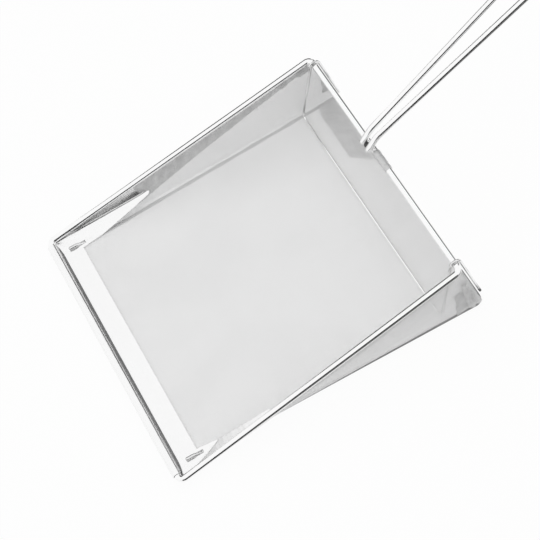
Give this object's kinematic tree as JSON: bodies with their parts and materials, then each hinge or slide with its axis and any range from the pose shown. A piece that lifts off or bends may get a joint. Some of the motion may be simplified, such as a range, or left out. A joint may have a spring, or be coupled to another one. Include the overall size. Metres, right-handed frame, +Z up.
{
  "type": "wire mesh skimmer scoop",
  "caption": "Rectangular wedge-shaped skimmer scoop of fine woven wire cloth on a bent wire rim, with a rolled sheet lip and a long hairpin wire handle.",
  "frame": {"origin": "centre of the bounding box in plan, at the level the part stands on", "axes": "+Z up from the table, +Y from the lip to the handle, +X to the right seen from the lip"},
  "size_m": [0.2256, 0.5028, 0.2564],
  "materials": {
    "polished_wire": "polished stainless steel wire",
    "drawn_wire": "bright drawn stainless steel wire",
    "bright_sheet": "bright rolled stainless steel sheet",
    "dull_sleeve": "dull stainless steel",
    "wire_cloth": "fine woven stainless steel wire cloth"
  },
  "bodies": {
    "root": {"rim_wire": "polished_wire", "rim_joint_sleeve": "dull_sleeve", "handle_wire": "polished_wire", "front_blade": "bright_sheet", "lower_frame_wire": "drawn_wire", "clamp_wire": "drawn_wire", "mesh_basket": "wire_cloth", "mesh_hem_left": "wire_cloth", "mesh_hem_right": "wire_cloth", "mesh_lap": "wire_cloth"}
  },
  "joints": []
}
